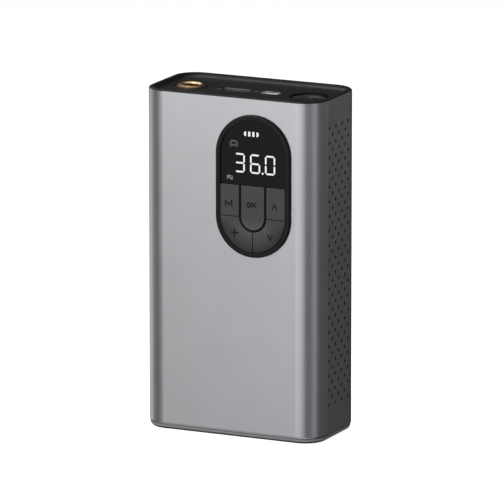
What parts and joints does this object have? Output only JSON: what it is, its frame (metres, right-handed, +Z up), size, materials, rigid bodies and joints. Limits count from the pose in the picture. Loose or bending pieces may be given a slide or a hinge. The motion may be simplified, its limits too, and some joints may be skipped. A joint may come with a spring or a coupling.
{
  "type": "portable tyre inflator",
  "caption": "Handheld cordless tyre inflator: rounded metal sleeve with side vents, pill-shaped panel with display and keys, brass air outlet, charging sockets and lamp on top.",
  "frame": {"origin": "middle of the standing face, under the centre of the metal sleeve", "axes": "+Z up through the top cap, -Y out of the front face with the panel, +X to the right as seen from the front"},
  "size_m": [0.084, 0.0448, 0.15],
  "materials": {
    "anodised_sleeve": "satin grey anodised, finely blasted",
    "black_plastic": "black moulded, fine satin grain",
    "grey_plastic": "dark grey moulded",
    "white_plastic": "off-white moulded",
    "holder_plastic": "blue-grey moulded",
    "key_plastic": "dark grey moulded, satin",
    "tongue_plastic": "black moulded",
    "smoked_lens": "smoked acrylic, satin gloss",
    "clear_plastic": "clear light pipe",
    "lamp_plastic": "clear polycarbonate",
    "reflector_coating": "vacuum metallised",
    "screen_mesh": "black woven polyester screen",
    "circuit_board": "green solder mask over glass laminate",
    "lamp_board_white": "aluminium board with white mask",
    "brass": "turned brass",
    "rubber": "black elastomer",
    "socket_steel": "plated sheet steel",
    "screw_steel": "zinc-plated steel",
    "motor_steel": "plated steel",
    "gear_steel": "sintered steel",
    "magnet": "sintered ferrite",
    "copper_wire": "enamelled copper",
    "cast_aluminium": "die-cast",
    "cell_sleeve": "blue shrink sleeve over a metal can",
    "nickel": "nickel strip",
    "red_lead": "red insulated wire"
  },
  "bodies": {
    "root": {"housing_sleeve": "anodised_sleeve", "top_cap": "black_plastic", "base_cap": "black_plastic", "base_screws": "screw_steel", "chassis": "grey_plastic", "cap_screws": "screw_steel", "dust_screens": "screen_mesh", "panel_bezel": "black_plastic", "display_lens": "smoked_lens", "display_module": "white_plastic", "key_switches": "grey_plastic", "control_board": "circuit_board", "panel_screws": "screw_steel", "air_outlet": "brass", "outlet_nut": "brass", "outlet_o_ring": "rubber", "usb_a_shell": "socket_steel", "usb_a_tongue": "tongue_plastic", "usb_c_shell": "socket_steel", "usb_c_tongue": "tongue_plastic", "status_light_pipe": "clear_plastic", "lamp_lens": "lamp_plastic", "lamp_reflector": "reflector_coating", "lamp_board": "lamp_board_white", "main_board": "circuit_board", "board_parts": "grey_plastic", "pressure_sensor": "grey_plastic", "motor_can": "motor_steel", "motor_end_cap": "grey_plastic", "motor_magnets": "magnet", "motor_screws": "screw_steel", "motor_pads": "rubber", "pump_frame": "cast_aluminium", "pump_pads": "rubber", "pump_screws": "screw_steel", "crank_bearing": "motor_steel", "pump_cylinder": "cast_aluminium", "valve_plate": "socket_steel", "cylinder_head": "cast_aluminium", "head_screws": "screw_steel", "air_hose": "rubber", "hose_clips": "socket_steel", "battery_holder": "holder_plastic", "battery_cell_left": "cell_sleeve", "battery_cell_right": "cell_sleeve", "cell_tabs": "nickel", "battery_leads": "red_lead", "motor_leads": "rubber"},
    "mode_key": {"mode_button": "key_plastic"},
    "plus_key": {"plus_button": "key_plastic"},
    "ok_key": {"ok_button": "key_plastic"},
    "up_key": {"up_button": "key_plastic"},
    "down_key": {"down_button": "key_plastic"},
    "rotor": {"motor_armature": "motor_steel", "motor_windings": "copper_wire", "motor_shaft": "motor_steel", "drive_pinion": "brass"},
    "crank": {"crank_gear": "gear_steel"},
    "piston": {"piston_rod": "white_plastic", "piston_seal": "rubber"}
  },
  "joints": [
    {"name": "mode_press", "type": "slide", "parent": "root", "child": "mode_key", "axis": [0, 1, 0], "range_m": [0, 0.0005], "stiffness_N_per_m": 400, "springref_m": -0.0005},
    {"name": "plus_press", "type": "slide", "parent": "root", "child": "plus_key", "axis": [0, 1, 0], "range_m": [0, 0.0005], "stiffness_N_per_m": 400, "springref_m": -0.0005},
    {"name": "ok_press", "type": "slide", "parent": "root", "child": "ok_key", "axis": [0, 1, 0], "range_m": [0, 0.0005], "stiffness_N_per_m": 400, "springref_m": -0.0005},
    {"name": "up_press", "type": "slide", "parent": "root", "child": "up_key", "axis": [0, 1, 0], "range_m": [0, 0.0005], "stiffness_N_per_m": 400, "springref_m": -0.0005},
    {"name": "down_press", "type": "slide", "parent": "root", "child": "down_key", "axis": [0, 1, 0], "range_m": [0, 0.0005], "stiffness_N_per_m": 400, "springref_m": -0.0005},
    {"name": "motor_spin", "type": "hinge", "parent": "root", "child": "rotor", "pos_m": [0.01, 0, 0.024], "axis": [1, 0, 0], "continuous": true},
    {"name": "crank_spin", "type": "hinge", "parent": "root", "child": "crank", "pos_m": [-0.0206, 0, 0.0438], "axis": [1, 0, 0], "continuous": true},
    {"name": "piston_stroke", "type": "slide", "parent": "root", "child": "piston", "axis": [0, 0, 1], "range_m": [-0.012, 0]}
  ],
  "couplings": [
    {"joint": "crank_spin", "follows": "motor_spin", "ratio": -0.22222}
  ]
}
